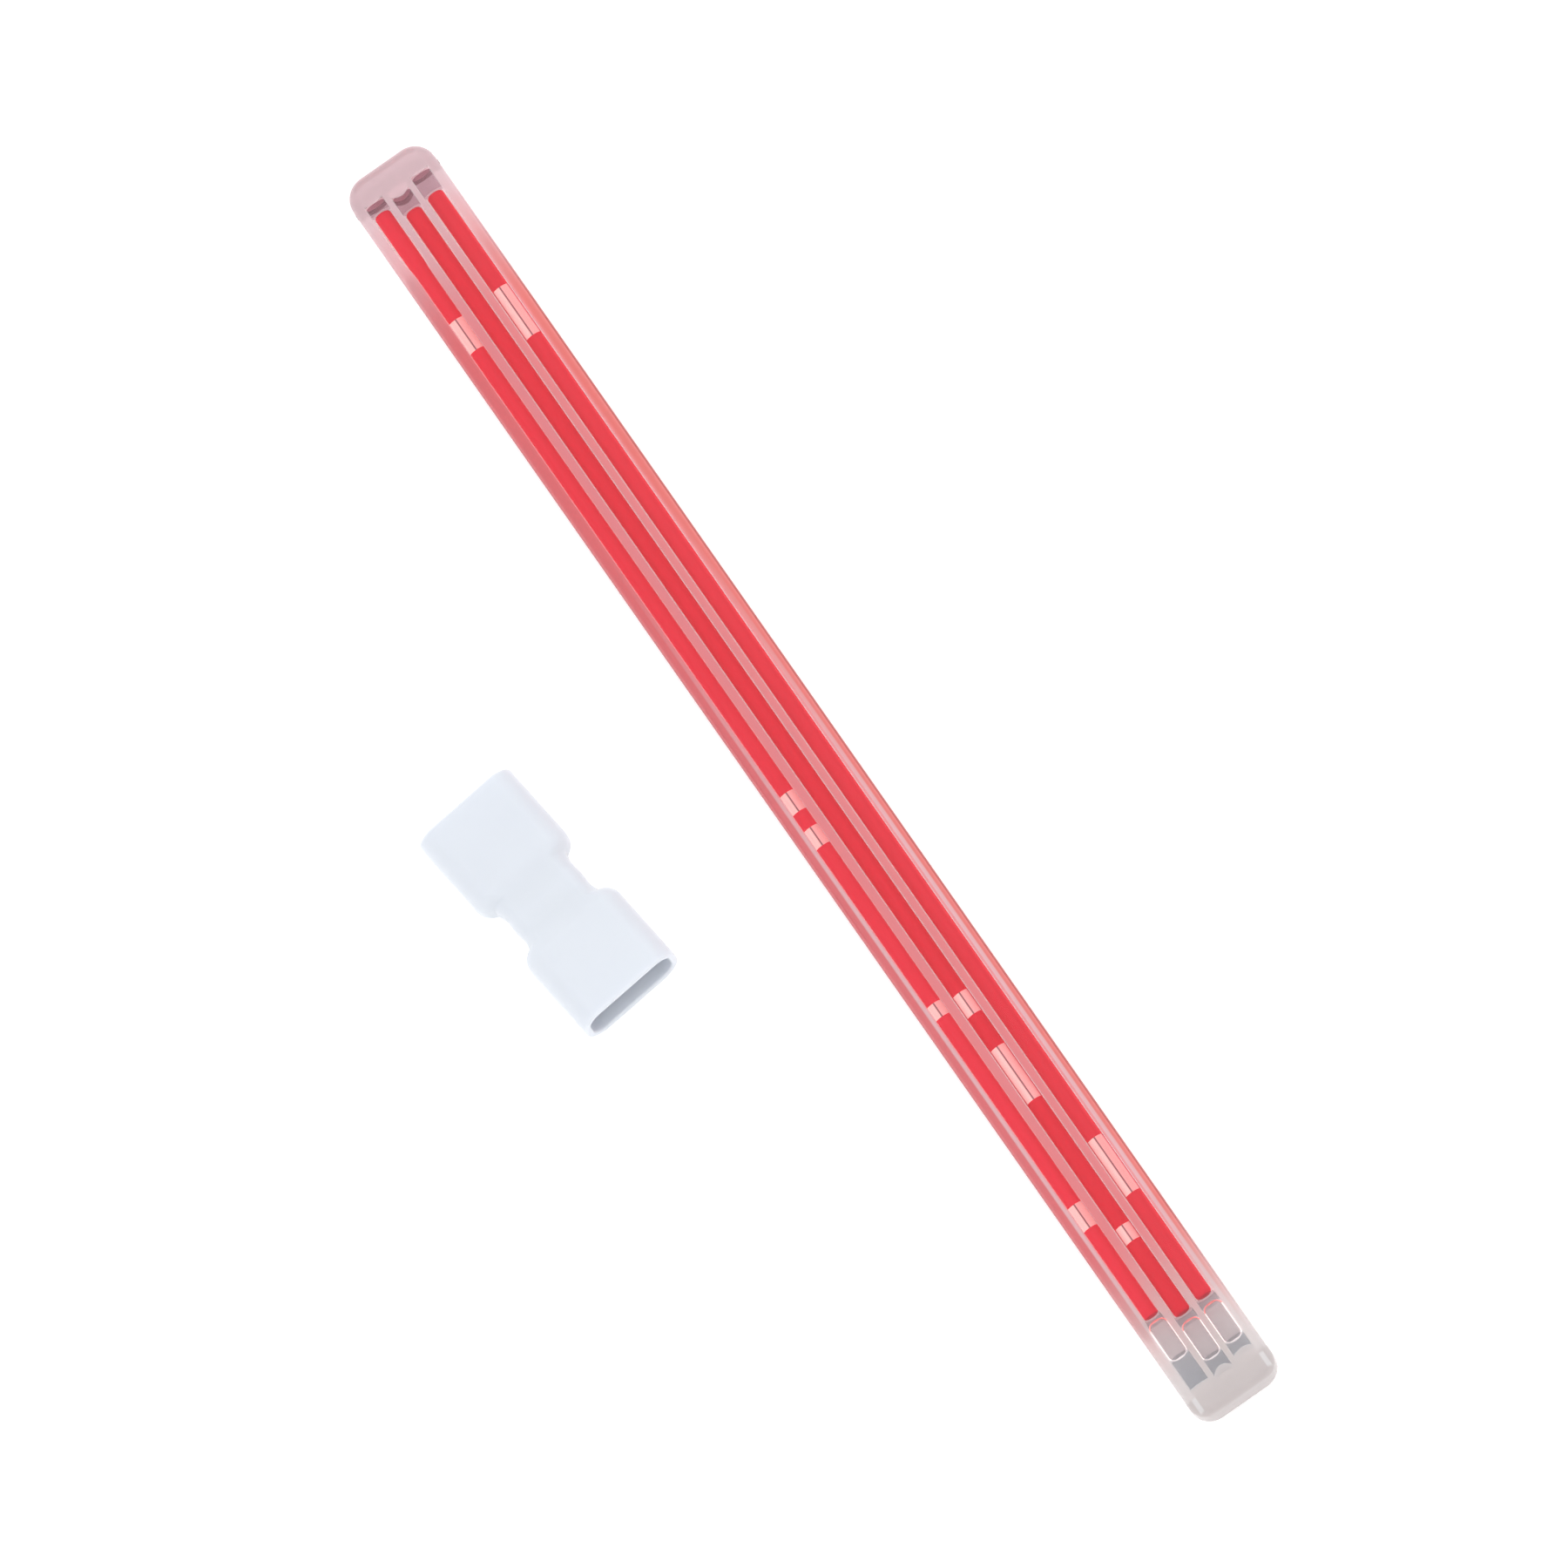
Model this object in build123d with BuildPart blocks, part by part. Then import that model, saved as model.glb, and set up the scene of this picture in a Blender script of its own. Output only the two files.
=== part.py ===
from build123d import *
import os
from math import cos, radians, sin

os.makedirs("parts", exist_ok=True)

# A flat chemical light stick with three bores, and the double-ended sleeve that joins its two ends
# into a ring. +X runs along the strip to its front end, +Y across it, +Z up. The origin is at the
# centre of the strip's underside, and the sleeve lies beside the strip on the same surface.
# All sizes are in millimetres.

# The strip, one extruded profile with three bores side by side
strip_length = 200.0          # over both end seals
strip_width = 12.6
strip_height = 5.0
side_flat = 1.6               # upright band left between the rounded edges of each long side
bore_diameter = 2.75
web = 0.7                     # plastic between two bores

# The end seals, moulded into the cut ends of the strip
seal_length = 3.6
seal_corner_radius = 2.6      # seen from above
seal_edge_radius = 1.2        # seen from the side
rear_neck = 0.25              # the sealing jaws drew the rear end in by this much on each side
front_neck = 0.0
spigot_root = 0.4             # how far a spigot is rooted in its seal

# The glass ampoules and what fills them
ampoule_play = 12.8           # how much shorter an ampoule is than the space between the seals
ampoule_clearance = 0.14      # all round, between the glass and its bore
glass_wall = 0.08
glass_end_wall = 0.35
ampoule_end_round = 0.6
meniscus_depth = 0.12         # hollow of a dye column's free face
fill_gap = 0.03               # film between a filling and its wall
liquid_clearance = 0.05       # between an ampoule and the liquid around it
bubble_end_round = 0.9

# The joining sleeve
sleeve_clearance = 0.2        # all round, between the strip and a socket
sleeve_wall = 1.0
socket_length = 13.0
socket_depth = 12.2
shoulder_radius = 2.0
rim_radius = 0.3
waist_length = 7.2
waist_width = 10.9
waist_height = 5.4
waist_flare = 0.9             # how much wider the waist is where it meets a socket
shoulder_step = 0.3           # how far inside a socket's top and bottom the waist runs into it
waist_rib = 0.25              # how far the low rib round the waist's middle stands out
sleeve_x, sleeve_y = -6.2, -35.9
sleeve_turn = 6.6             # degrees about +Z

# Sizes that follow from those above
bore_radius = bore_diameter / 2
bore_pitch = bore_diameter + web
bore_height = strip_height / 2
side_radius = (strip_height - side_flat) / 2
seal_face = strip_length / 2 - seal_length
ampoule_length = 2 * seal_face - ampoule_play
ampoule_radius = bore_radius - ampoule_clearance
dye_length = ampoule_length - 2 * glass_end_wall
dye_radius = ampoule_radius - glass_wall - fill_gap
bubble_radius = bore_radius - liquid_clearance
socket_width = strip_width + 2 * sleeve_clearance
socket_height = strip_height + 2 * sleeve_clearance
sleeve_width = socket_width + 2 * sleeve_wall
sleeve_height = socket_height + 2 * sleeve_wall
socket_side_radius = side_radius + sleeve_clearance
sleeve_side_radius = socket_side_radius + sleeve_wall

# Each bore's own fill. lane is its place across the strip, counted in pitches. rear_gap is how far
# the ampoule has slid off the rear seal. A spigot is a plug's length and the height of the dome on
# it. A bubble is how far ahead of the ampoule it starts, and its length. A gas gap in the dye is the
# place of its middle, as a share of the dye space, and its length.
bores = {
    "left": {
        "lane": 1,
        "rear_gap": 3.05,
        "rear_spigot": (0.4, 0.1),
        "front_spigot": (0.8, 0.4),
        "bubble": (0.75, 5.9),
        "gas_gaps": ((0.109, 7.8), (0.883, 8.8)),
    },
    "middle": {
        "lane": 0,
        "rear_gap": 3.25,
        "rear_spigot": (1.1, 0.6),
        "front_spigot": (0.1, 0.8),
        "bubble": (0.75, 5.9),
        "gas_gaps": ((0.722, 3.4), (0.785, 8.5), (0.929, 2.5)),
    },
    "right": {
        "lane": -1,
        "rear_gap": 1.25,
        "rear_spigot": (0.2, 0.2),
        "front_spigot": (0.4, 0.1),
        "bubble": (0.35, 5.9),
        "gas_gaps": ((0.112, 4.9), (0.537, 3.0), (0.568, 2.9), (0.725, 2.1), (0.911, 3.7)),
    },
}


def save(part, name):
    """Label a finished piece and write it as its own STEP file."""
    part.label = name
    export_step(part, f"parts/{name}.step")


def rounded_end(x, side, radius, end_round):
    """A rod's end face at x, flat with its edge rounded over. side is -1 at the rear, 1 at the front.

    Every end face is (where it meets the axis, how far out it is flat, where it meets the side)."""
    return x, radius - end_round, x - side * end_round


def bulged_end(x, side, bulge):
    """An end face that is part of a ball, with its rim at x: a dome, or hollow if bulge is negative."""
    return x + side * bulge, 0, x


def turned_rod(bore, radius, rear, front):
    """A round rod on a bore's axis, from its rear end face to its front one."""
    centre = (0, bore["lane"] * bore_pitch, bore_height)
    with BuildPart() as rod:
        with BuildSketch(Plane(origin=centre, x_dir=(1, 0, 0), z_dir=(0, -1, 0))):
            with BuildLine():
                for on_axis, flat, rim in (rear, front):
                    if flat > 0:
                        Line((on_axis, 0), (on_axis, flat))
                    TangentArc((on_axis, flat), (rim, radius), tangent=(0, 1))
                Line((rear[2], radius), (front[2], radius))
                Line((rear[0], 0), (front[0], 0))
            make_face()
        revolve(axis=Axis(centre, (1, 0, 0)))
    return rod.part


def rounded_rod(bore, start, end, radius, end_round):
    """A round rod on a bore's axis with both ends rounded over."""
    rear = rounded_end(start, -1, radius, end_round)
    front = rounded_end(end, 1, radius, end_round)
    return turned_rod(bore, radius, rear, front)


def spigot(bore, side):
    """The domed plug that a seal pushes into one bore, rooted in the seal."""
    plug, dome = bore["rear_spigot" if side < 0 else "front_spigot"]
    root = bulged_end(side * (seal_face + spigot_root), side, spigot_root)
    tip = bulged_end(side * (seal_face - plug), -side, dome)
    ends = (root, tip) if side < 0 else (tip, root)
    return turned_rod(bore, bore_radius - fill_gap, *ends)


def ampoule_span(bore):
    """Where an ampoule's glass starts and ends along X."""
    start = -seal_face + bore["rear_gap"]
    return start, start + ampoule_length


def make_strip_body():
    """The extruded strip between the seals, open right through at its three bores."""
    with BuildPart() as strip_body:
        with BuildSketch(Plane.YZ.offset(-seal_face)):
            with Locations((0, strip_height / 2)):
                RectangleRounded(strip_width, strip_height, side_radius)
            with Locations([(b["lane"] * bore_pitch, bore_height) for b in bores.values()]):
                Circle(bore_radius, mode=Mode.SUBTRACT)
        extrude(amount=2 * seal_face)
    save(strip_body.part, "strip_body")


def make_end_seal(name, side, neck):
    """A seal with the strip's section, rounded corners and one domed spigot in each bore."""
    half_width, end = strip_width / 2, side * strip_length / 2
    with BuildPart() as end_seal:
        with BuildSketch(Plane.YZ.offset(side * seal_face)):
            with Locations((0, strip_height / 2)):
                RectangleRounded(strip_width, strip_height, side_radius)
        extrude(amount=side * seal_length)
        # plan outline: from the strip's full width to the necked end with its rounded corners
        with BuildSketch(Plane.XY) as plan:
            with BuildLine():
                Polyline(
                    (side * seal_face, -half_width),
                    (end, -half_width + neck),
                    (end, half_width - neck),
                    (side * seal_face, half_width),
                    close=True,
                )
            make_face()
            fillet(plan.vertices().group_by(Axis.X)[0 if side < 0 else -1], seal_corner_radius)
        extrude(amount=strip_height, mode=Mode.INTERSECT)
        # side outline: the end face rounds over above and below
        with BuildSketch(Plane.XZ.offset(-half_width)) as side_view:
            with Locations((side * (seal_face + seal_length / 2), strip_height / 2)):
                Rectangle(seal_length, strip_height)
            fillet(side_view.vertices().group_by(Axis.X)[0 if side < 0 else -1], seal_edge_radius)
        extrude(amount=strip_width, mode=Mode.INTERSECT)
        for bore in bores.values():
            add(spigot(bore, side))
    save(end_seal.part, name)


def make_ampoule(name, bore):
    """A thin glass tube, drawn shut and rounded at both ends."""
    start, end = ampoule_span(bore)
    inner_round = ampoule_end_round - glass_wall
    with BuildPart() as ampoule:
        add(rounded_rod(bore, start, end, ampoule_radius, ampoule_end_round))
        inside = start + glass_end_wall, end - glass_end_wall
        add(
            rounded_rod(bore, *inside, ampoule_radius - glass_wall, inner_round),
            mode=Mode.SUBTRACT,
        )
    save(ampoule.part, f"ampoule_{name}")


def make_dye_columns(name, bore):
    """The red dye in one ampoule, broken into columns by the gas gaps between them."""
    start = ampoule_span(bore)[0] + glass_end_wall
    dye_round = ampoule_end_round - glass_wall - fill_gap
    faces = [rounded_end(start + fill_gap, -1, dye_radius, dye_round)]
    for share, length in bore["gas_gaps"]:
        middle = start + share * dye_length
        faces.append(bulged_end(middle - length / 2, 1, -meniscus_depth))
        faces.append(bulged_end(middle + length / 2, -1, -meniscus_depth))
    faces.append(rounded_end(start + dye_length - fill_gap, 1, dye_radius, dye_round))
    for number, (rear, front) in enumerate(zip(faces[0::2], faces[1::2]), 1):
        save(turned_rod(bore, dye_radius, rear, front), f"dye_{name}_{number}")


def make_bore_liquid(name, bore):
    """The clear liquid round one ampoule, with the air bubble ahead of it left empty."""
    rear_plug, rear_dome = bore["rear_spigot"]
    front_plug, front_dome = bore["front_spigot"]
    rear = bulged_end(-seal_face + rear_plug + fill_gap, -1, -rear_dome)
    front = bulged_end(seal_face - front_plug - fill_gap, 1, -front_dome)
    glass_start, glass_end = ampoule_span(bore)
    ahead, bubble_length = bore["bubble"]
    bubble_start = glass_end + ahead
    glass_space = rounded_rod(
        bore,
        glass_start - liquid_clearance,
        glass_end + liquid_clearance,
        ampoule_radius + liquid_clearance,
        ampoule_end_round + liquid_clearance,
    )
    bubble = rounded_rod(
        bore, bubble_start, bubble_start + bubble_length, bubble_radius, bubble_end_round
    )
    with BuildPart() as liquid:
        add(turned_rod(bore, bore_radius - fill_gap, rear, front))
        add([glass_space, bubble], mode=Mode.SUBTRACT)
    save(liquid.part, f"bore_liquid_{name}")


# The sleeve's own section plane: its normal is the sleeve's axis, and its local X runs across.
turn = radians(sleeve_turn)
sleeve_plane = Plane(
    origin=(sleeve_x, sleeve_y, sleeve_height / 2),
    x_dir=(-sin(turn), cos(turn), 0),
    z_dir=(cos(turn), sin(turn), 0),
)
sleeve_axis = Axis(sleeve_plane.origin, sleeve_plane.z_dir)


def sleeve_socket(side):
    """One socket of the sleeve: a blind pocket of the strip's shape, rounded at shoulder and rim."""
    shoulder = sleeve_plane.offset(side * waist_length / 2)
    mouth = sleeve_plane.offset(side * (waist_length / 2 + socket_length))
    with BuildPart() as socket:
        with BuildSketch(shoulder):
            RectangleRounded(sleeve_width, sleeve_height, sleeve_side_radius)
        extrude(amount=side * socket_length)
        inner_end = socket.edges().group_by(sleeve_axis)[0 if side > 0 else -1]
        fillet(inner_end, shoulder_radius)
        with BuildSketch(mouth):
            RectangleRounded(socket_width, socket_height, socket_side_radius)
        extrude(amount=-side * socket_depth, mode=Mode.SUBTRACT)
        rim = socket.edges().group_by(sleeve_axis)[-1 if side > 0 else 0]
        fillet(rim, rim_radius)
    return socket.part


def make_joining_sleeve():
    """Two sockets back to back on a narrow solid waist with a low rib round its middle."""
    half = waist_length / 2
    quarter = half / 2
    joined = waist_width + waist_flare, sleeve_height - 2 * shoulder_step
    plain = waist_width, waist_height
    ribbed = waist_width + waist_rib, waist_height + waist_rib
    stations = ((-half, joined), (-quarter, plain), (0, ribbed), (quarter, plain), (half, joined))
    with BuildPart() as sleeve:
        for place, (width, height) in stations:
            with BuildSketch(sleeve_plane.offset(place)):
                RectangleRounded(width, height, (height - side_flat) / 2)
        loft()
        for side in (-1, 1):
            # the waist runs on into the socket's rounded shoulder
            with BuildSketch(sleeve_plane.offset(side * half)):
                RectangleRounded(*joined, (joined[1] - side_flat) / 2)
            extrude(amount=side * shoulder_radius)
            add(sleeve_socket(side))
    save(sleeve.part, "joining_sleeve")


make_strip_body()
make_end_seal("end_seal_rear", -1, rear_neck)
make_end_seal("end_seal_front", 1, front_neck)
for bore_name, bore_values in bores.items():
    make_ampoule(bore_name, bore_values)
    make_dye_columns(bore_name, bore_values)
    make_bore_liquid(bore_name, bore_values)
make_joining_sleeve()
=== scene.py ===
# A flat chemical light stick with three bores and its joining sleeve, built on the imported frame.
# Sizes are in metres. +X runs along the stick to its front end, +Y across it and +Z up.
import math

import bmesh
import bpy
from mathutils import Matrix, Vector


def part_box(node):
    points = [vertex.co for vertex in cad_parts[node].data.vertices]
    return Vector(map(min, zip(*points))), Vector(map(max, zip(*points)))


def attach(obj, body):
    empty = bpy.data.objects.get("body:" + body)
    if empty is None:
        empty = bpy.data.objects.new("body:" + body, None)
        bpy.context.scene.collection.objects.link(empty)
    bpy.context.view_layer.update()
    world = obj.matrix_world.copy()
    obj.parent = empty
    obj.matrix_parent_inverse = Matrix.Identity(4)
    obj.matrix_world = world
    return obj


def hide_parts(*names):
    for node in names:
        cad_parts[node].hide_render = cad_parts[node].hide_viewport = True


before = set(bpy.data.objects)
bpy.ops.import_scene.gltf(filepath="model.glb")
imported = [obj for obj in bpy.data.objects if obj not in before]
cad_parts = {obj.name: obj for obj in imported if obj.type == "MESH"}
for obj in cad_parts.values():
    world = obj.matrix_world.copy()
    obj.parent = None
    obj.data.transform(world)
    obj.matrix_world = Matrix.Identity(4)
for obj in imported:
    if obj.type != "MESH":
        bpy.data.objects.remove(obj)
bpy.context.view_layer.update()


# ---- Strip body ----
# One extruded length of soft translucent plastic, 12.6 by 5 mm, with three bores through it.
# It comes off the die glossy, with faint lines along it, and its pink is painted light from the dye
# behind it.

MM = 0.001
BORES = ("left", "middle", "right")
strip_low, strip_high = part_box("strip_body")
strip_width = strip_high.y - strip_low.y
strip_height = strip_high.z - strip_low.z
side_flat = 1.6 * MM
side_radius = (strip_height - side_flat) / 2
fill_gap = 0.03 * MM             # film between a filling and the wall it wets
CORNER_POINTS = 20               # of each rounded corner of a section
ROUND_POINTS = 80                # round a bore


def axis_of(node):
    """The y and z of the line that a round node is turned about."""
    low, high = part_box(node)
    return (low.y + high.y) / 2, (low.z + high.z) / 2


lanes = {name: axis_of("ampoule_" + name) for name in BORES}
liquid_low, liquid_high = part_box("bore_liquid_left")
bore_radius = (liquid_high.z - liquid_low.z) / 2 + fill_gap
bore_pitch = lanes["left"][0] - lanes["middle"][0]
CLEAR = (1.24, 1.24, 1.04)       # mm, half of the clear window over each bore
CLEAR_PAST = 1.34                # mm, the same past the dye's ends
WIDENING = (84 * MM, 88 * MM)    # from the strip's middle, where the windows widen
FADING = (72 * MM, 96.5 * MM)    # from the strip's middle, where the painted pink of the dye's light fades to milk
SOFT_EDGE = 0.1 * MM             # half of how far a window's edge takes to fade
DOMES = {"rear": (0.1, 0.6, 0.2), "front": (0.4, 0.8, 0.1)}   # mm, of each bore's two ends


def rounded_section(width, height, radius):
    """The (y, z) points of a rounded rectangle about (0, 0), anticlockwise seen from +X."""
    points = []
    for corner, (side, top) in enumerate(((1, 1), (-1, 1), (-1, -1), (1, -1))):
        y, z = side * (width / 2 - radius), top * (height / 2 - radius)
        for step in range(CORNER_POINTS):
            turn = (corner + step / (CORNER_POINTS - 1)) * math.pi / 2
            points.append((y + radius * math.cos(turn), z + radius * math.sin(turn)))
    return points


def round_section(radius):
    """The (y, z) points of a circle, or the one point of a pole where the radius is nothing."""
    if radius < 1e-9:
        return [(0.0, 0.0)]
    turns = [2 * math.pi * step / ROUND_POINTS for step in range(ROUND_POINTS)]
    return [(radius * math.cos(turn), radius * math.sin(turn)) for turn in turns]


def loft(shell, rings, slots=None, inward=False):
    """Skins a bmesh over rings of points, rear to front. A ring of one point is a pole.

    Each stretch between two rings may have a material slot of its own."""
    made = [[shell.verts.new(point) for point in ring] for ring in rings]
    for number, (rear, front) in enumerate(zip(made, made[1:])):
        count = max(len(rear), len(front))
        for step in range(count):
            after = (step + 1) % count
            corners = [rear[step % len(rear)], rear[after % len(rear)]]
            corners += [front[after % len(front)], front[step % len(front)]]
            face = shell.faces.new(list(dict.fromkeys(corners)))
            face.smooth = True
            face.material_index = slots[number] if slots else 0
            if inward:
                face.normal_flip()


def finish_piece(name, shell, materials, body, nodes, sharp=40):
    """Makes a bmesh into a piece that rides on a body in place of its CAD nodes.

    An edge that turns by more than sharp degrees stays crisp."""
    mesh = bpy.data.meshes.new(name)
    shell.to_mesh(mesh)
    shell.free()
    mesh.set_sharp_from_angle(angle=math.radians(sharp))
    piece = bpy.data.objects.new(name, mesh)
    bpy.context.scene.collection.objects.link(piece)
    for material in materials:
        mesh.materials.append(material)
    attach(piece, body)
    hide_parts(*nodes)


def socket_key(name):
    """The number in a name such as i2, for sockets that share a label, or else the label."""
    if name[0] == "i" and name[1:].isdigit():
        return int(name[1:])
    return name.replace("_", " ")


class Shades:
    """A material's node tree, with short calls that add a node and wire it up."""

    def __init__(self, name):
        self.material = bpy.data.materials.new(name)
        self.material.use_nodes = True
        self.tree = self.material.node_tree
        self.surface = self.tree.nodes["Principled BSDF"]
        self.place = self.add("ShaderNodeTexCoord").outputs["Object"]

    def add(self, kind, settings=None, **inputs):
        node = self.tree.nodes.new(kind)
        for name, value in (settings or {}).items():
            setattr(node, name, value)
        for name, value in inputs.items():
            self.set(node, name, value)
        return node

    def set(self, node, name, value):
        socket = node.inputs[socket_key(name)]
        if isinstance(value, bpy.types.NodeSocket):
            self.tree.links.new(value, socket)
        else:
            socket.default_value = value

    def math(self, operation, first, second=0.0, third=0.0):
        settings = {"operation": operation}
        return self.add("ShaderNodeMath", settings, i0=first, i1=second, i2=third).outputs[0]

    def apart(self, first, second):
        """How far apart two values are."""
        return self.math("ABSOLUTE", self.math("SUBTRACT", first, second))

    def ramp(self, value, low, high, to_low=0.0, to_high=1.0):
        """Maps value from low..high to to_low..to_high with soft ends."""
        node = self.add(
            "ShaderNodeMapRange",
            {"interpolation_type": "SMOOTHSTEP"},
            Value=value,
            From_Min=low,
            From_Max=high,
            To_Min=to_low,
            To_Max=to_high,
        )
        return node.outputs["Result"]

    def mix(self, share, first, second):
        node = self.add("ShaderNodeMix", {"data_type": "RGBA"})
        for name, value in (("i0", share), ("i6", first), ("i7", second)):
            self.set(node, name, value)
        return node.outputs[2]

    def noise(self, scale, stretch=(1, 1, 1), detail=2.0):
        mapping = self.add("ShaderNodeMapping", Vector=self.place, Scale=stretch)
        vector = mapping.outputs["Vector"]
        node = self.add("ShaderNodeTexNoise", Vector=vector, Scale=scale, Detail=detail)
        return node.outputs["Fac"]

    def bump(self, height, strength, distance):
        node = self.add("ShaderNodeBump", Height=height, Strength=strength, Distance=distance)
        self.set(self.surface, "Normal", node.outputs["Normal"])

    def xyz(self):
        return self.add("ShaderNodeSeparateXYZ", Vector=self.place).outputs

    def finish(self, **inputs):
        """Sets or wires the shader's own sockets and gives the material."""
        for name, value in inputs.items():
            self.set(self.surface, name, value)
        return self.material

    def see_through(self, tint):
        """Gives the material with a tinted transparent surface in place of the shader."""
        clear = self.add("ShaderNodeBsdfTransparent", Color=tint)
        output = self.tree.nodes["Material Output"]
        self.tree.links.new(clear.outputs[0], output.inputs["Surface"])
        return self.material


def strip_plastic():
    """Milky plastic, clear where only a thin skin lies over a bore and hazy where it is thick."""
    shades = Shades("strip_plastic")
    x, y = shades.xyz()[:2]
    along = shades.math("ABSOLUTE", x)
    # the clear window over each bore, as wide as the dye and, past its ends, as the bore
    window = 0.0
    for index, name in enumerate(BORES):
        off = shades.apart(y, lanes[name][0])
        half = shades.ramp(along, *WIDENING, CLEAR[index] * MM, CLEAR_PAST * MM)
        over = shades.ramp(shades.math("SUBTRACT", off, half), SOFT_EDGE, -SOFT_EDGE)
        share = shades.math("DIVIDE", off, bore_radius)
        crown = shades.math("SUBTRACT", 1.0, shades.math("POWER", share, 2.0))
        low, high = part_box("bore_liquid_" + name)
        rear = shades.math("MULTIPLY_ADD", crown, DOMES["rear"][index] * MM, low.x)
        front = shades.math("MULTIPLY_ADD", crown, -DOMES["front"][index] * MM, high.x)
        behind = shades.ramp(shades.math("SUBTRACT", x, rear), -SOFT_EDGE, 1.5 * SOFT_EDGE)
        ahead = shades.ramp(shades.math("SUBTRACT", front, x), -SOFT_EDGE, 1.5 * SOFT_EDGE)
        clear = shades.math("MULTIPLY", over, shades.math("MULTIPLY", behind, ahead))
        window = shades.math("MAXIMUM", clear, window)
    # painted light: the webs' pink is the dye's light, in mauve and rose streaks along them
    streak = shades.noise(450.0, (0.004, 1, 0.3))
    web_dye_glow = shades.mix(streak, (0.62, 0.22, 0.26, 1), (0.76, 0.24, 0.24, 1))
    # painted light on the sides: red-pink where the dye's light gathers in the rounded edges,
    # and a painted pale highlight stripe between them and the outer bores that fades to the rear
    left = shades.mix(streak, (0.64, 0.15, 0.14, 1), (0.73, 0.19, 0.17, 1))
    right = shades.mix(streak, (0.60, 0.13, 0.15, 1), (0.68, 0.17, 0.18, 1))
    side_dye_glow = shades.mix(shades.ramp(y, -1 * MM, 1 * MM), right, left)
    pale_highlight = shades.mix(streak, (0.62, 0.39, 0.42, 1), (0.72, 0.49, 0.51, 1))
    pale_highlight = shades.mix(shades.ramp(x, -45 * MM, 20 * MM), side_dye_glow, pale_highlight)
    side = shades.apart(y, 0.2 * MM)
    reach = bore_pitch + bore_radius
    colour = shades.mix(shades.ramp(side, reach - 0.20 * MM, reach + 0.05 * MM), web_dye_glow, pale_highlight)
    colour = shades.mix(shades.ramp(side, reach + 0.32 * MM, reach + 0.55 * MM), colour, side_dye_glow)
    # painted shade: a thin line of deep red down the left edge and a softer one down the right
    edge = strip_width / 2
    edge_shade = shades.ramp(y, edge - 0.38 * MM, edge - 0.22 * MM)
    colour = shades.mix(edge_shade, colour, (0.34, 0.015, 0.012, 1))
    edge_shade = shades.ramp(y, 0.30 * MM - edge, 0.12 * MM - edge)
    colour = shades.mix(edge_shade, colour, (0.40, 0.07, 0.08, 1))
    # the painted pink of the dye's light fades to milky pink at the rear end and milky grey at the
    # front
    grain = shades.noise(140.0, detail=3.0)
    rear_milk = shades.mix(grain, (0.60, 0.44, 0.47, 1), (0.66, 0.49, 0.52, 1))
    front_milk = shades.mix(grain, (0.57, 0.52, 0.52, 1), (0.61, 0.56, 0.55, 1))
    milk = shades.mix(shades.ramp(x, -50 * MM, 50 * MM), rear_milk, front_milk)
    # a painted highlight: a short pale dash on each side of the front end, over the seal's joint
    beside = shades.apart(shades.math("ABSOLUTE", y), 5.15 * MM)
    dash_highlight = shades.math(
        "MULTIPLY",
        shades.ramp(beside, 0.42 * MM, 0.20 * MM),
        shades.ramp(shades.apart(x, 98.1 * MM), 1.2 * MM, 0.8 * MM),
    )
    milk = shades.mix(dash_highlight, milk, (0.74, 0.72, 0.73, 1))
    colour = shades.mix(shades.ramp(along, *FADING[::-1]), milk, colour)
    colour = shades.mix(window, colour, (0.99, 0.98, 0.98, 1))
    die_lines = shades.noise(900.0, (0.001, 1, 1))
    shades.bump(die_lines, 0.1, 0.04 * MM)
    return shades.finish(
        Base_Color=colour,
        Transmission_Weight=shades.math("MULTIPLY_ADD", window, 0.60, 0.40),
        Roughness=0.05,
        IOR=1.36,
    )


def bore_wall():
    """The wetted wall of a bore. Liquid and plastic bend light alike, so it hardly shows."""
    return Shades("bore_wall").see_through((0.99, 0.98, 0.98, 1))


strip_plastic_material = strip_plastic()
bore_wall_material = bore_wall()


class Recipe:
    """A Geometry Nodes tree with named inputs, and short calls that add nodes and run it."""

    def __init__(self, name, sizes):
        self.tree = bpy.data.node_groups.new(name, "GeometryNodeTree")
        self.values = {}
        for label, (kind, value) in sizes.items():
            socket = self.tree.interface.new_socket(label, in_out="INPUT", socket_type=kind)
            self.values[socket.identifier] = value
        self.tree.interface.new_socket(
            "Geometry", in_out="OUTPUT", socket_type="NodeSocketGeometry"
        )
        self.sizes = self.tree.nodes.new("NodeGroupInput").outputs

    def add(self, kind, settings=None, **inputs):
        node = self.tree.nodes.new(kind)
        for name, value in (settings or {}).items():
            setattr(node, name, value)
        for name, value in inputs.items():
            socket = node.inputs[socket_key(name)]
            for one in value if isinstance(value, list) else [value]:
                if isinstance(one, bpy.types.NodeSocket):
                    self.tree.links.new(one, socket)
                else:
                    socket.default_value = one
        return node.outputs[0]

    def math(self, operation, first, second=0.0):
        return self.add("ShaderNodeMath", {"operation": operation}, i0=first, i1=second)

    def xyz(self, vector):
        node = self.tree.nodes.new("ShaderNodeSeparateXYZ")
        self.tree.links.new(vector, node.inputs[0])
        return node.outputs

    def run(self, geometry):
        """Gives the plain mesh that the tree makes from its sizes."""
        result = self.tree.nodes.new("NodeGroupOutput")
        self.tree.links.new(geometry, result.inputs[0])
        empty = bpy.data.meshes.new(self.tree.name)
        holder = bpy.data.objects.new(self.tree.name, empty)
        bpy.context.scene.collection.objects.link(holder)
        modifier = holder.modifiers.new(self.tree.name, "NODES")
        modifier.node_group = self.tree
        for identifier, value in self.values.items():
            modifier[identifier] = value
        graph = bpy.context.evaluated_depsgraph_get()
        mesh = bpy.data.meshes.new_from_object(holder.evaluated_get(graph))
        bpy.data.objects.remove(holder)
        return mesh


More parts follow.
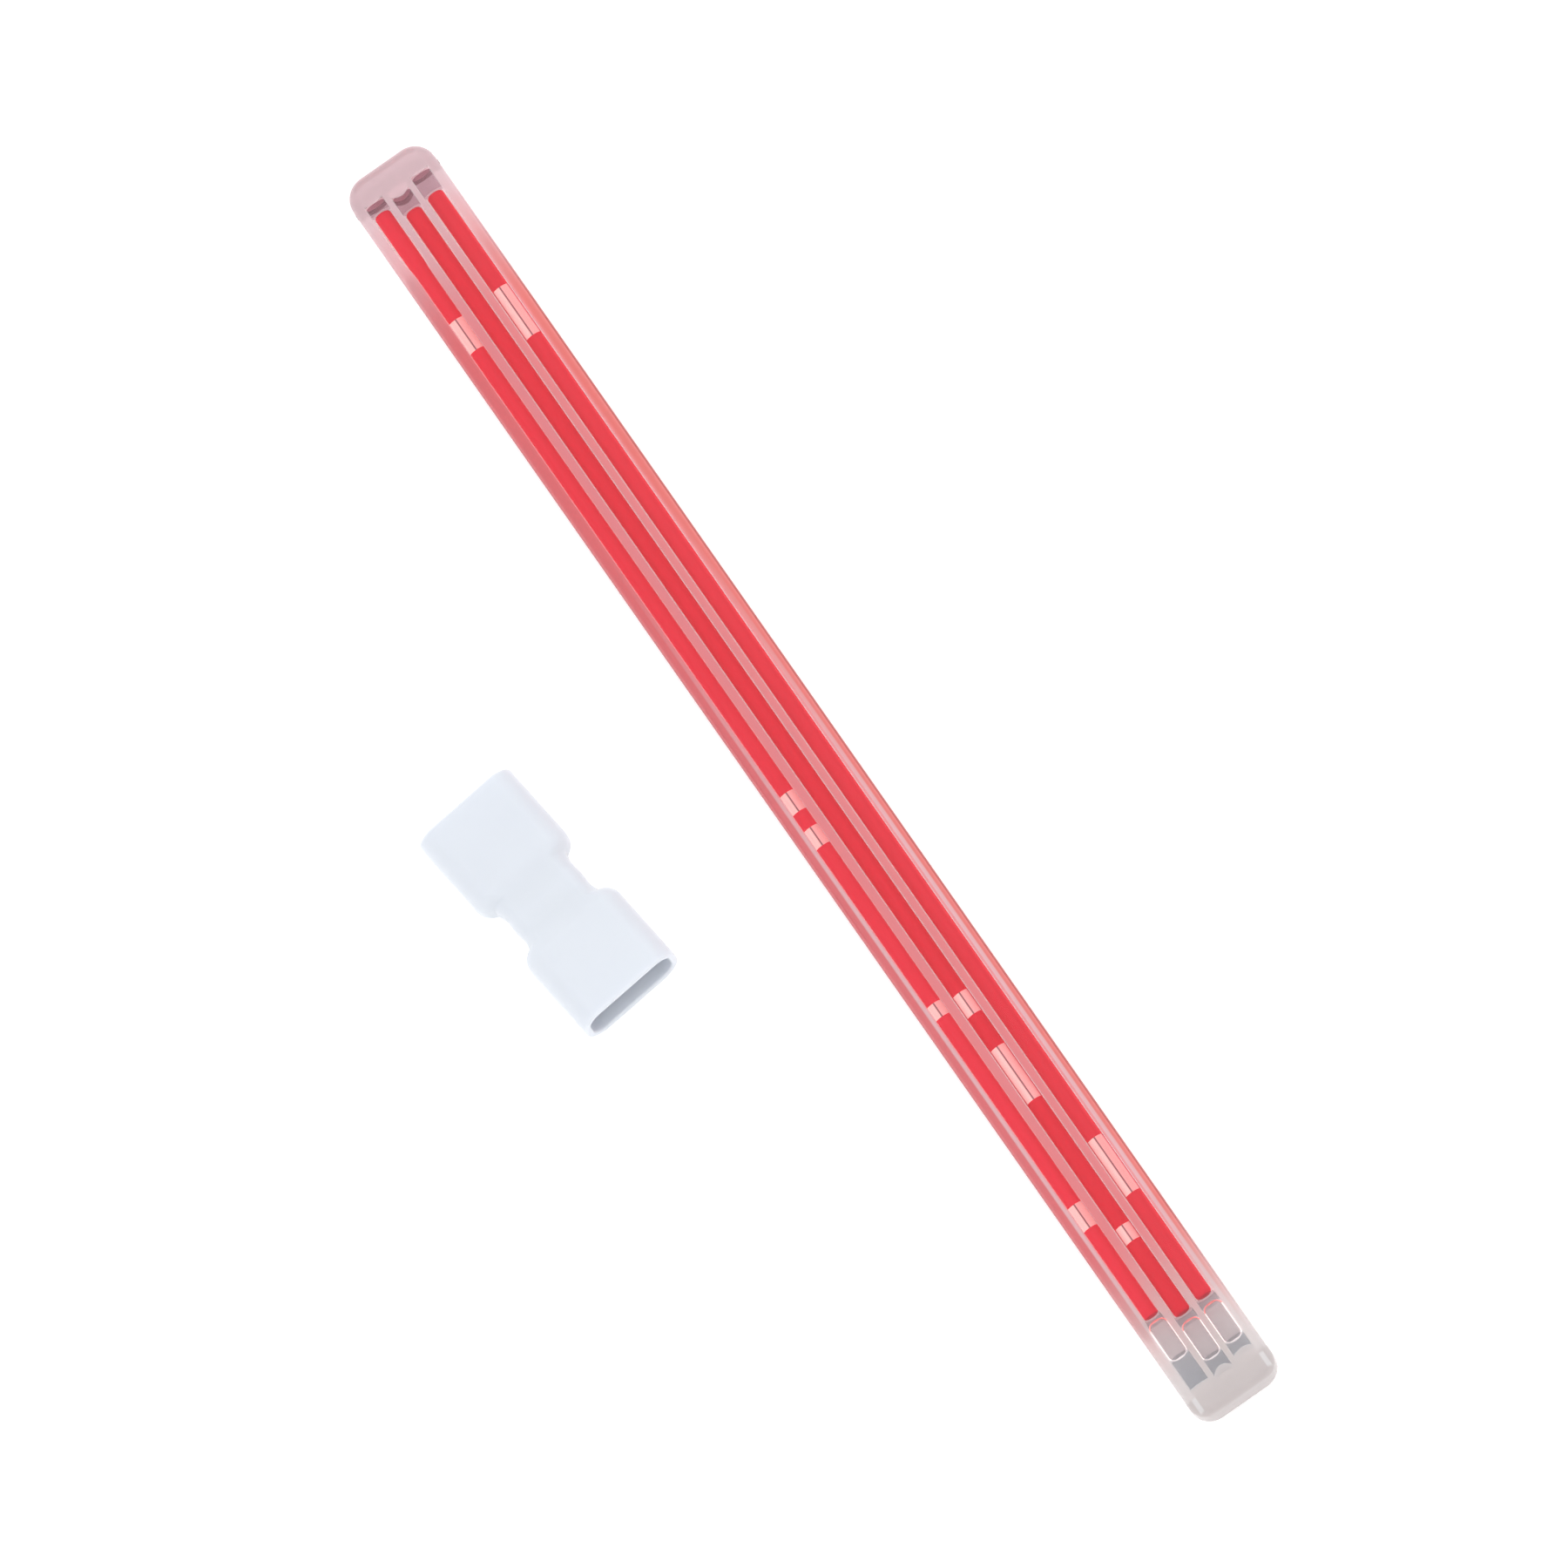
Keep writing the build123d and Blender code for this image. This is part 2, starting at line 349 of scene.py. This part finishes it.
def drawn_strip():
    """The section's outline and its row of bores, filled and drawn out to the strip's length."""
    size = "NodeSocketFloat"
    recipe = Recipe(
        "drawn_strip",
        {
            "Length": (size, strip_high.x - strip_low.x),
            "Width": (size, strip_width),
            "Height": (size, strip_height),
            "Side Radius": (size, side_radius),
            "Bore Radius": (size, bore_radius),
            "Bore Pitch": (size, bore_pitch),
            "Bores": ("NodeSocketInt", len(BORES)),
            "Skin": ("NodeSocketMaterial", strip_plastic_material),
            "Bore Wall": ("NodeSocketMaterial", bore_wall_material),
        },
    )
    sizes = recipe.sizes
    outline = recipe.add(
        "GeometryNodeCurvePrimitiveQuadrilateral", Width=sizes["Width"], Height=sizes["Height"]
    )
    outline = recipe.add(
        "GeometryNodeFilletCurve",
        {"mode": "POLY"},
        Curve=outline,
        Count=CORNER_POINTS,
        Radius=sizes["Side Radius"],
    )
    gaps = recipe.math("SUBTRACT", sizes["Bores"], 1.0)
    row_start = recipe.math("MULTIPLY", recipe.math("MULTIPLY", gaps, sizes["Bore Pitch"]), -0.5)
    row = recipe.add(
        "GeometryNodeMeshLine",
        Count=sizes["Bores"],
        Start_Location=recipe.add("ShaderNodeCombineXYZ", X=row_start),
        Offset=recipe.add("ShaderNodeCombineXYZ", X=sizes["Bore Pitch"]),
    )
    circle = recipe.add(
        "GeometryNodeCurvePrimitiveCircle", Resolution=ROUND_POINTS, Radius=sizes["Bore Radius"]
    )
    bores = recipe.add("GeometryNodeInstanceOnPoints", Points=row, Instance=circle)
    bores = recipe.add("GeometryNodeRealizeInstances", Geometry=bores)
    section = recipe.add("GeometryNodeJoinGeometry", Geometry=[outline, bores])
    rear = recipe.add("GeometryNodeFillCurve", {"mode": "TRIANGLES"}, Curve=section)
    drawn = recipe.add(
        "GeometryNodeExtrudeMesh",
        {"mode": "FACES"},
        Mesh=rear,
        Offset=(0, 0, 1),
        Offset_Scale=sizes["Length"],
        Individual=False,
    )
    rear = recipe.add("GeometryNodeFlipFaces", Mesh=rear)
    strip = recipe.add("GeometryNodeJoinGeometry", Geometry=[drawn, rear])
    strip = recipe.add("GeometryNodeMergeByDistance", Geometry=strip, Distance=1e-7)
    half = recipe.math("MULTIPLY", sizes["Length"], -0.5)
    height = recipe.math("MULTIPLY", sizes["Height"], 0.5)
    strip = recipe.add(
        "GeometryNodeTransform",
        Geometry=strip,
        Translation=recipe.add("ShaderNodeCombineXYZ", X=half, Z=height),
        Rotation=(math.pi / 2, 0, math.pi / 2),
    )
    strip = recipe.add("GeometryNodeSetShadeSmooth", Geometry=strip)
    strip = recipe.add("GeometryNodeSetMaterial", Geometry=strip, Material=sizes["Skin"])
    # a face belongs to a bore when it is no further than the radius from the nearest bore's axis
    place = recipe.xyz(recipe.add("GeometryNodeInputPosition"))
    half_pitch = recipe.math("MULTIPLY", sizes["Bore Pitch"], 0.5)
    shifted = recipe.math("ADD", place["Y"], half_pitch)
    nearest = recipe.math("SNAP", shifted, sizes["Bore Pitch"])
    off_y = recipe.math("POWER", recipe.math("SUBTRACT", place["Y"], nearest), 2.0)
    off_z = recipe.math("POWER", recipe.math("SUBTRACT", place["Z"], height), 2.0)
    away = recipe.math("SQRT", recipe.math("ADD", off_y, off_z))
    just_past = recipe.math("MULTIPLY", sizes["Bore Radius"], 1.02)
    in_bore = recipe.math("LESS_THAN", away, just_past)
    facing = recipe.xyz(recipe.add("GeometryNodeInputNormal"))
    mostly_along = 0.9
    on_end = recipe.math("GREATER_THAN", recipe.math("ABSOLUTE", facing["X"]), mostly_along)
    strip = recipe.add(
        "GeometryNodeSetMaterial",
        Geometry=strip,
        Selection=recipe.math("MAXIMUM", in_bore, on_end),
        Material=sizes["Bore Wall"],
    )
    return recipe.run(recipe.add("GeometryNodeRealizeInstances", Geometry=strip))


shell = bmesh.new()
strip_mesh = drawn_strip()
shell.from_mesh(strip_mesh)
finish_piece("strip_body_piece", shell, list(strip_mesh.materials), "strip", ["strip_body"])


# ---- End seals ----
# Milky plugs of the same plastic, moulded over the strip's cut ends while hot. A domed spigot
# stands out into each bore, and the rear end is a little narrower where the jaws drew it in.

seal_corner_radius = 2.6 * MM
seal_edge_radius = 1.2 * MM
NECKS = {"rear": 0.25 * MM, "front": 0.0}
SEAL_RINGS = 24
ARC_STEPS = 14                   # of a turned end's arc, from the axis to the side
SEAL_SKIN, SEAL_JOINT, SPIGOT = 0, 1, 2      # material slots


def rounded_off(inset, radius):
    """How much a rounded edge takes off a face, so far in from where the rounding is deepest."""
    if inset >= radius:
        return 0.0
    return radius - math.sqrt(radius**2 - (radius - inset) ** 2)


def end_arc(on_axis, flat, rim, radius):
    """Outline points of a turned end: flat out to a radius, then an arc that meets the side."""
    points = [(on_axis, 0.0)] if flat > 0 else []
    run, rise = abs(rim - on_axis), radius - flat
    ball = (run**2 + rise**2) / (2 * run)
    way = math.copysign(1, rim - on_axis)
    last = math.asin(min(rise / ball, 1.0))
    for step in range(ARC_STEPS + 1):
        turn = last * step / ARC_STEPS
        along = on_axis + way * ball * (1 - math.cos(turn))
        points.append((along, flat + ball * math.sin(turn)))
    return points


def turned_rings(outline, lane):
    """Rings about a bore's axis through an outline of (x, radius) points."""
    return [
        [(x, lane[0] + y, lane[1] + z) for y, z in round_section(radius)]
        for x, radius in outline
    ]


def milky_plastic():
    """The spigots' plastic, seen through the clear skin over the bores, with a painted glow."""
    shades = Shades("milky_plastic")
    x = shades.xyz()[0]
    cloud = shades.noise(140.0, detail=3.0)
    warm = shades.mix(cloud, (0.62, 0.45, 0.48, 1), (0.66, 0.49, 0.52, 1))
    cool = shades.mix(cloud, (0.58, 0.54, 0.54, 1), (0.62, 0.58, 0.57, 1))
    frontward = shades.ramp(x, -50 * MM, 50 * MM)
    return shades.finish(
        Base_Color=shades.mix(frontward, warm, cool),
        # painted glow, warm at the rear and cool at the front, lifting the spigots out of the shade
        # they lie in
        Emission_Color=shades.mix(frontward, (0.98, 0.68, 0.74, 1), (0.58, 0.54, 0.54, 1)),
        Emission_Strength=0.28,
        Roughness=0.4,
    )


milky_material = milky_plastic()
seal_face = strip_high.x
middle_z = (strip_low.z + strip_high.z) / 2

for end, side in (("rear", -1), ("front", 1)):
    node = "end_seal_" + end
    low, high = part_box(node)
    tip = low.x if side < 0 else high.x
    length = abs(tip) - seal_face
    shell = bmesh.new()
    rings = [[(side * seal_face, 0, middle_z)]]
    for step in range(SEAL_RINGS + 1):
        # rings crowd towards the tip, where the outline turns fastest
        run = length * math.sin(step / SEAL_RINGS * math.pi / 2)
        left = length - run
        neck = NECKS[end] * run / length
        width = strip_width - 2 * (neck + rounded_off(left, seal_corner_radius))
        height = strip_height - 2 * rounded_off(left, seal_edge_radius)
        section = rounded_section(width, height, (height - side_flat) / 2)
        rings.append([(side * (seal_face + run), y, middle_z + z) for y, z in section])
    rings.append([(tip, 0, middle_z)])
    # the face against the strip is clear, and the rest is the strip's own plastic
    skin = [SEAL_JOINT] + [SEAL_SKIN] * (len(rings) - 2)
    loft(shell, rings[::side], skin[::side])
    for name, dome in zip(BORES, DOMES[end]):
        low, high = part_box("bore_liquid_" + name)
        rim = low.x - fill_gap if side < 0 else high.x + fill_gap
        radius = bore_radius - fill_gap
        face = end_arc(rim - side * dome * MM, 0, rim, radius)
        root = [(side * seal_face, 0.0), (side * seal_face, radius)]
        outline = root + face[::-1]
        plug = [SEAL_JOINT] + [SPIGOT] * (len(outline) - 2)
        loft(shell, turned_rings(outline[::-side], lanes[name]), plug[::-side])
    finish_piece(
        node + "_piece",
        shell,
        [strip_plastic_material, bore_wall_material, milky_material],
        "strip",
        [node],
    )


# ---- Glass ampoules ----
# Thin tubes drawn shut and rounded at both ends, one loose in each bore. The wet glass is all but
# invisible in the liquid, and shows only where a gas gap lies against it.

glass_wall = 0.08 * MM
glass_end_wall = 0.35 * MM
ampoule_end_round = 0.6 * MM


def wet_glass():
    """Glass with liquid on both sides, which light crosses almost unchanged."""
    return Shades("wet_glass").see_through((0.995, 0.985, 0.985, 1))


def gas_gap_skin():
    """Gas on the glass: painted light in two bands, painted shade in a thin line and at the edges.
    """
    shades = Shades("gas_gap_skin")
    y = shades.xyz()[1]
    nearest, signed = 1.0, 0.0
    for lane in lanes.values():
        off = shades.math("SUBTRACT", y, lane[0])
        away = shades.math("ABSOLUTE", off)
        here = shades.math("LESS_THAN", away, bore_pitch / 2)
        signed = shades.math("MULTIPLY_ADD", here, off, signed)
        nearest = shades.math("MINIMUM", away, nearest)
    streak = shades.noise(700.0, (0.01, 1, 1))
    # painted reflected light: a bright band on each side of a gap
    left = shades.mix(streak, (0.84, 0.36, 0.36, 1), (0.90, 0.46, 0.45, 1))
    right = shades.mix(streak, (0.86, 0.52, 0.50, 1), (0.92, 0.64, 0.61, 1))
    colour = shades.mix(shades.ramp(signed, -0.2 * MM, 0.2 * MM), right, left)
    # painted shade: a thin dark line down the middle of each gap
    line = shades.ramp(nearest, 0.05 * MM, 0.16 * MM)
    colour = shades.mix(line, (0.30, 0.10, 0.12, 1), colour)
    # painted shade: darker edges along each gap's sides
    edge = shades.ramp(nearest, 0.92 * MM, 1.04 * MM)
    colour = shades.mix(edge, colour, (0.60, 0.12, 0.15, 1))
    # the gap skin also has a painted glow in its own colour
    return shades.finish(
        Base_Color=colour,
        Emission_Color=colour,
        Emission_Strength=0.4,
        Roughness=0.2,
        IOR=1.2,
    )


wet_glass_material = wet_glass()
gas_gap_material = gas_gap_skin()


def rounded_outline(start, end, radius, end_round):
    """Outline points of a turned rod with flat ends and rounded edges, rear to front."""
    rear = end_arc(start, radius - end_round, start + end_round, radius)
    front = end_arc(end, radius - end_round, end - end_round, radius)
    return rear + front[::-1]


DYE_COLUMNS = {"left": 3, "middle": 4, "right": 6}
GLASS, GAP = 0, 1                # material slots

for name in BORES:
    low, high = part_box("ampoule_" + name)
    radius = (high.z - low.z) / 2
    shell = bmesh.new()
    outline = rounded_outline(low.x, high.x, radius, ampoule_end_round)
    loft(shell, turned_rings(outline, lanes[name]))
    # the inner wall has stations where each dye column starts and ends, with gas between columns
    inner = radius - glass_wall
    inner_round = ampoule_end_round - glass_wall
    outline = rounded_outline(
        low.x + glass_end_wall, high.x - glass_end_wall, inner, inner_round
    )
    half = len(outline) // 2
    stations = []
    columns = [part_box(f"dye_{name}_{n}") for n in range(1, DYE_COLUMNS[name] + 1)]
    for before, after in zip(columns, columns[1:]):
        stations += [(before[1].x, inner), (after[0].x, inner)]
    rear, front = outline[:half], outline[half:]
    end = [GLASS] * (half - 1)
    slots = end + [GLASS] + [GAP, GLASS] * (len(columns) - 1) + end
    loft(shell, turned_rings(rear + stations + front, lanes[name]), slots, inward=True)
    finish_piece(
        f"ampoule_{name}_piece",
        shell,
        [wet_glass_material, gas_gap_material],
        "ampoule_" + name,
        ["ampoule_" + name],
    )


# ---- Red dye ----
# The dye fills each ampoule, broken into columns by gas. A free face is hollow where the dye
# creeps up the glass, and a column against the ampoule's end takes the end's round shape.

meniscus_depth = 0.12 * MM


def red_dye():
    """Deep red with faint streaks along it, a little lighter in the two outer ampoules."""
    shades = Shades("red_dye")
    y = shades.xyz()[1]
    cloud = shades.noise(900.0, (0.012, 1, 1), 4.0)
    near = bore_pitch / 2
    right = shades.mix(cloud, (0.64, 0.018, 0.034, 1), (0.74, 0.026, 0.056, 1))
    middle = shades.mix(cloud, (0.59, 0.013, 0.026, 1), (0.68, 0.018, 0.040, 1))
    left = shades.mix(cloud, (0.60, 0.018, 0.034, 1), (0.70, 0.028, 0.052, 1))
    colour = shades.mix(shades.math("GREATER_THAN", y, -near), right, middle)
    colour = shades.mix(shades.math("GREATER_THAN", y, near), colour, left)
    return shades.finish(
        Base_Color=colour,
        # painted glow: the dye shines a little in its own colour
        Emission_Color=colour,
        Emission_Strength=0.42,
        Roughness=0.35,
        IOR=1.1,
    )


red_dye_material = red_dye()
end_round = ampoule_end_round - glass_wall - fill_gap

for name in BORES:
    last = DYE_COLUMNS[name]
    for number in range(1, last + 1):
        node = f"dye_{name}_{number}"
        low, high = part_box(node)
        radius = (high.z - low.z) / 2
        rear = end_arc(low.x + meniscus_depth, 0, low.x, radius)
        if number == 1:
            rear = end_arc(low.x, radius - end_round, low.x + end_round, radius)
        front = end_arc(high.x - meniscus_depth, 0, high.x, radius)
        if number == last:
            front = end_arc(high.x, radius - end_round, high.x - end_round, radius)
        shell = bmesh.new()
        loft(shell, turned_rings(rear + front[::-1], lanes[name]))
        finish_piece(node + "_piece", shell, [red_dye_material], "ampoule_" + name, [node])


# ---- Clear liquid and its bubbles ----
# A thin clear liquid fills the rest of each bore. One long air bubble lies ahead of each ampoule,
# and its skin is a painted bright pale outline.

liquid_clearance = 0.05 * MM
bubble_end_round = 0.9 * MM
BUBBLE_AHEAD = (0.75, 0.75, 0.35)      # mm, from each ampoule's front end to its bubble
bubble_length = 5.9 * MM
film_margin = 0.3 * MM           # from the end of the glass or of a bubble to its film
LIQUID, FILM, BUBBLE, BUBBLE_REAR = 0, 1, 2, 3      # material slots


def bubble_skin(name, rim):
    """An air bubble's skin: faint where it faces out, a painted glowing highlight where it turns
    away.
    """
    shades = Shades(name)
    turned = shades.add("ShaderNodeLayerWeight", Blend=0.5).outputs["Facing"]
    # painted highlight: the skin turns bright and glows where it faces away
    bright = shades.ramp(turned, 0.40, 0.70)
    cloud = shades.noise(500.0, (0.05, 1, 1))
    faint = shades.mix(cloud, (0.38, 0.33, 0.35, 1), (0.44, 0.38, 0.40, 1))
    colour = shades.mix(bright, faint, rim)
    return shades.finish(
        Base_Color=colour,
        Emission_Color=colour,
        Emission_Strength=shades.math("MULTIPLY_ADD", bright, 0.75, 0.1),
        Alpha=shades.math("MULTIPLY_ADD", bright, 0.65, 0.35),
        Roughness=0.1,
        IOR=1.2,
    )


def clear_liquid():
    """A full bore of clear liquid tinted grey as painted shade, a little pink behind the dye's rear
    ends.
    """
    shades = Shades("clear_liquid")
    x = shades.xyz()[0]
    frontward = shades.ramp(x, -80 * MM, 80 * MM)
    tint = shades.mix(frontward, (0.80, 0.69, 0.73, 1), (0.71, 0.725, 0.745, 1))
    return shades.see_through(tint)


clear_liquid_material = clear_liquid()
bubble_material = bubble_skin("bubble_skin", (0.98, 0.88, 0.86, 1))
bubble_rear_material = bubble_skin("bubble_skin_red_reflection", (0.90, 0.22, 0.20, 1))

for index, name in enumerate(BORES):
    node = "bore_liquid_" + name
    low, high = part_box(node)
    radius = (high.z - low.z) / 2
    rear = end_arc(low.x + DOMES["rear"][index] * MM, 0, low.x, radius)
    front = end_arc(high.x - DOMES["front"][index] * MM, 0, high.x, radius)
    glass_low, glass_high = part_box("ampoule_" + name)
    start = glass_high.x + BUBBLE_AHEAD[index] * MM
    end = start + bubble_length
    # only a film of liquid lies round the glass and the bubble, and it looks clear
    films = []
    for film_low, film_high in ((glass_low.x, glass_high.x), (start, end)):
        films += [(film_low + film_margin, radius), (film_high - film_margin, radius)]
    shell = bmesh.new()
    outer = [LIQUID] * len(rear) + [FILM, LIQUID, FILM] + [LIQUID] * len(front)
    loft(shell, turned_rings(rear + films + front[::-1], lanes[name]), outer)
    space = rounded_outline(
        glass_low.x - liquid_clearance,
        glass_high.x + liquid_clearance,
        (glass_high.z - glass_low.z) / 2 + liquid_clearance,
        ampoule_end_round + liquid_clearance,
    )
    wet = [FILM] * (len(space) - 1)
    loft(shell, turned_rings(space, lanes[name]), wet, inward=True)
    bubble = rounded_outline(start, end, bore_radius - liquid_clearance, bubble_end_round)
    # painted reflection: the bubble's rear end takes the dye's red
    red_end = ARC_STEPS + 1
    skin = [BUBBLE_REAR] * red_end + [BUBBLE] * (len(bubble) - 1 - red_end)
    loft(shell, turned_rings(bubble, lanes[name]), skin, inward=True)
    finish_piece(
        node + "_piece",
        shell,
        [clear_liquid_material, wet_glass_material, bubble_material, bubble_rear_material],
        "strip",
        [node],
    )


# ---- Joining sleeve ----
# A white moulding of soft plastic with a socket of the stick's own section at each end, which
# grips the stick's ends, and a narrow solid waist between them that swells softly into both.

sleeve_wall = 1.0 * MM
socket_length = 13.0 * MM
socket_depth = 12.2 * MM
shoulder_radius = 2.0 * MM
rim_radius = 0.3 * MM
waist_length = 7.2 * MM
waist_width = 10.9 * MM
waist_height = 5.4 * MM
waist_flare = 0.9 * MM
waist_rib = 0.25 * MM            # soft rib round the waist's middle
rib_spread = 1.1 * MM
rise_start = 1.2 * MM            # from the middle, where the top starts to rise to the shoulder
flare_start = 0.45               # of the half waist, where its sides start to flare
WAIST_STEPS = 24
RIM_STEPS = 12
sleeve_width = 15.0 * MM
sleeve_height = 7.4 * MM
sleeve_flat = 1.6 * MM           # upright band between the rounded corners of a socket's side
sleeve_place = Matrix.Translation((-6.2 * MM, -35.9 * MM, 3.7 * MM))
sleeve_place @= Matrix.Rotation(math.radians(6.6), 4, "Z")


def sleeve_plastic():
    """Cool white plastic that lets a little light in, with a fine grain from the mould."""
    shades = Shades("sleeve_plastic")
    cloud = shades.noise(90.0, detail=3.0)
    grain = shades.noise(2500.0)
    shades.bump(grain, 0.1, 0.02 * MM)
    return shades.finish(
        Base_Color=shades.mix(cloud, (0.55, 0.58, 0.63, 1), (0.58, 0.61, 0.655, 1)),
        Roughness=0.38,
        Subsurface_Weight=0.4,
        Subsurface_Radius=(1.0, 1.0, 1.1),
        Subsurface_Scale=1.5 * MM,
    )


def sleeve_half():
    """Sections (along, width, height) from the waist's middle out, over the rim and in."""
    waist_end = waist_length / 2
    shoulder = waist_end + shoulder_radius
    end = waist_end + socket_length
    sections = []
    for step in range(WAIST_STEPS + 1):          # half the waist, then the shoulder
        along = step / WAIST_STEPS * shoulder
        rib = waist_rib * math.exp(-((along / rib_spread) ** 2))
        share = max(0, (along - rise_start) / (shoulder - rise_start))
        rise = share * share * (3 - 2 * share)
        height = waist_height + rib + (sleeve_height - waist_height) * rise
        if along <= waist_end:
            flare = max(0, along / waist_end - flare_start) / (1 - flare_start)
            width = waist_width + rib + waist_flare * flare**2
        else:
            drop = rounded_off(along - waist_end, shoulder_radius)
            width = max(waist_width + waist_flare, sleeve_width - 2 * drop)
        sections.append((along, width, height))
    for step in range(RIM_STEPS + 1):            # the rim, from the outer wall to the inner
        turn = step / RIM_STEPS * math.pi
        along = end - rim_radius + rim_radius * math.sin(turn)
        drop = rim_radius * (1 - math.cos(turn))
        if turn > math.pi / 2:
            drop += sleeve_wall - 2 * rim_radius
        sections.append((along, sleeve_width - 2 * drop, sleeve_height - 2 * drop))
    inner_width, inner_height = sleeve_width - 2 * sleeve_wall, sleeve_height - 2 * sleeve_wall
    sections.append((end - socket_depth, inner_width, inner_height))
    return sections


rings = []
for along, width, height in sleeve_half():
    section = rounded_section(width, height, (height - sleeve_flat) / 2)
    rings.append([(along, y, z) for y, z in section])
mirrored = [[(-x, y, z) for x, y, z in ring] for ring in rings[:0:-1]]
blind_end = rings[-1][0][0]
shell = bmesh.new()
loft(shell, [[(-blind_end, 0, 0)]] + mirrored + rings + [[(blind_end, 0, 0)]])
shell.transform(sleeve_place)
finish_piece(
    "joining_sleeve_piece",
    shell,
    [sleeve_plastic()],
    "sleeve",
    ["joining_sleeve"],
    sharp=50,
)


# ---- Floor, light and camera ----
# The stick and its sleeve lie on a plain white surface under an even white sky, with one large
# soft light above. The camera looks down from beyond the front end, with a long lens.

floor_reach = 3.0
floor_drop = 0.2 * MM            # keeps the surface clear of the undersides
camera_tilt = math.radians(19)   # off the vertical, towards the front end
stick_slope = math.radians(55.05)      # of the stick, down across the view
camera_lens = 1200.0
camera_sensor = 36.0
view_width = 0.1976
aim = Vector((-2.5, -3.03, 0)) * MM


def plain_floor():
    """Matt white with a little glow, so that the surface comes out even and nearly white."""
    shades = Shades("floor_white")
    return shades.finish(
        Base_Color=(0.98, 0.98, 0.98, 1),
        Roughness=0.9,
        Specular_IOR_Level=0.0,
        Emission_Color=(1, 1, 1, 1),
        Emission_Strength=0.22,
    )


floor_mesh = bpy.data.meshes.new("floor")
floor_corners = [
    (x * floor_reach, y * floor_reach, -floor_drop)
    for x, y in ((-1, -1), (1, -1), (1, 1), (-1, 1))
]
floor_mesh.from_pydata(floor_corners, [], [(0, 1, 2, 3)])
floor_piece = bpy.data.objects.new("floor", floor_mesh)
floor_mesh.materials.append(plain_floor())
bpy.context.scene.collection.objects.link(floor_piece)

world = bpy.data.worlds.new("soft_white")
world.use_nodes = True
sky = world.node_tree.nodes["Background"]
sky.inputs["Color"].default_value = (1, 1, 1, 1)
sky.inputs["Strength"].default_value = 1.25
bpy.context.scene.world = world
bpy.context.scene.view_settings.view_transform = "Standard"
bpy.context.scene.cycles.transparent_max_bounces = 64


def softbox(name, place, size, power):
    """A square soft light that faces the stick."""
    light = bpy.data.lights.new(name, "AREA")
    light.shape, light.size, light.energy = "SQUARE", size, power
    holder = bpy.data.objects.new(name, light)
    holder.location = place
    holder.rotation_euler = (-Vector(place)).to_track_quat("-Z", "Y").to_euler()
    bpy.context.scene.collection.objects.link(holder)


softbox("key", (-0.1, 0.15, 0.8), 1.0, 1.6)

back = Vector((math.sin(camera_tilt), 0, math.cos(camera_tilt)))
along = Vector((math.cos(camera_tilt), 0, -math.sin(camera_tilt)))
across = Vector((0, 1, 0))
right = math.cos(stick_slope) * along + math.sin(stick_slope) * across
up = -math.sin(stick_slope) * along + math.cos(stick_slope) * across
turn = Matrix((right, up, back)).transposed().to_4x4()
distance = view_width * camera_lens / camera_sensor
camera_data = bpy.data.cameras.new("camera")
camera_data.lens = camera_lens
camera_data.sensor_width = camera_sensor
camera_data.clip_end = 50
camera = bpy.data.objects.new("camera", camera_data)
camera.matrix_world = Matrix.Translation(aim + back * distance) @ turn
bpy.context.scene.collection.objects.link(camera)
bpy.context.scene.camera = camera
